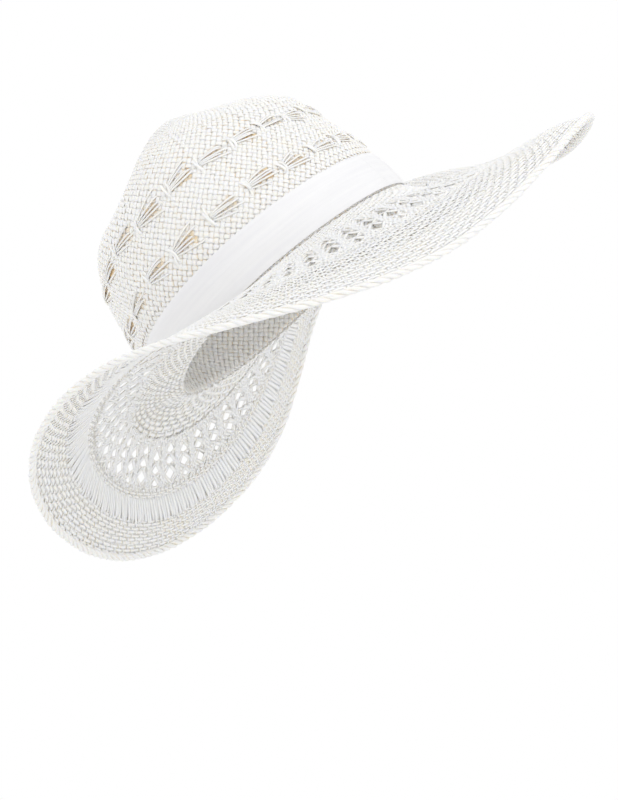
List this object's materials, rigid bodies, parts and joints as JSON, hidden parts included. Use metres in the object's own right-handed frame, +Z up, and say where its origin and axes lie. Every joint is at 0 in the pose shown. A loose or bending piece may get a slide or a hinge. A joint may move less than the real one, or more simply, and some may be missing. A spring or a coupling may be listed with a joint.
{
  "type": "straw sun hat",
  "caption": "Wide-brimmed straw sun hat with a soft rounded crown, ribbon band, openwork ring and a drooping, folded brim.",
  "frame": {"origin": "centre of the head opening, at the level where the crown meets the brim", "axes": "+Z up through the crown, the front towards -Y, the wearer's right side towards -X"},
  "size_m": [0.3991, 0.4084, 0.2066],
  "materials": {
    "crown_straw": "woven white paper straw, semi-matt",
    "brim_straw": "woven white paper straw, semi-matt",
    "ribbon": "ribbed white ribbon, soft sheen",
    "braid_straw": "twisted white paper straw"
  },
  "bodies": {
    "root": {"crown": "crown_straw", "brim": "brim_straw", "hat_band": "ribbon", "edge_braid": "braid_straw"}
  },
  "joints": []
}
